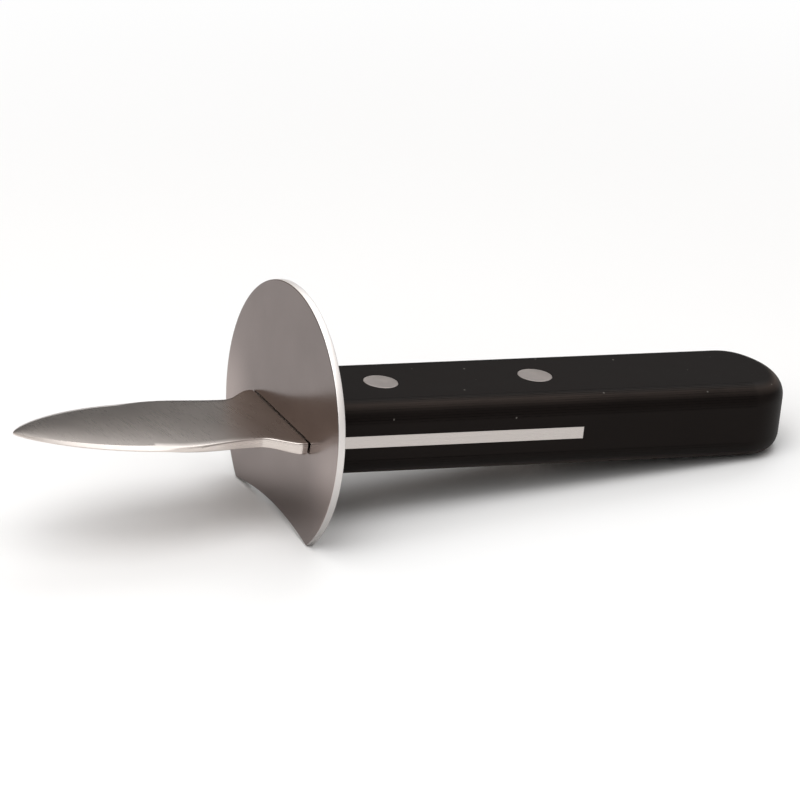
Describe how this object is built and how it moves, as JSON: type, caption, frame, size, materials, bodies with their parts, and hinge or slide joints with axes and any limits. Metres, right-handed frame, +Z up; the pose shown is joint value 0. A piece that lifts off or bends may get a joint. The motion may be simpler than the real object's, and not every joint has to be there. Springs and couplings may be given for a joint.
{
  "type": "mussel opener",
  "caption": "Short knife for opening mussels: a pointed leaf blade with dull edges, an upright oval hand guard and a riveted black handle.",
  "frame": {"origin": "on the table, under the centre of the bounding box of the knife as it rests", "axes": "+X from the blade's tip to the butt, +Z up from the table, -Y towards the side that the picture shows"},
  "size_m": [0.1683, 0.0584, 0.048],
  "materials": {
    "ground_steel": "cross-ground blade faces with fine slanting scratches, smoother sheared edges",
    "guard_steel": "satin plate with a soft reflection and a bright rim",
    "black_plastic": "satin moulded black with a faint grain",
    "rivet_steel": "flush heads, ground level with the handle"
  },
  "bodies": {
    "root": {"blade_and_tang": "ground_steel", "guard_plate": "guard_steel", "handle_block": "black_plastic", "front_rivet_post": "rivet_steel", "front_rivet_sleeve": "rivet_steel", "rear_rivet_post": "rivet_steel", "rear_rivet_sleeve": "rivet_steel"}
  },
  "joints": []
}
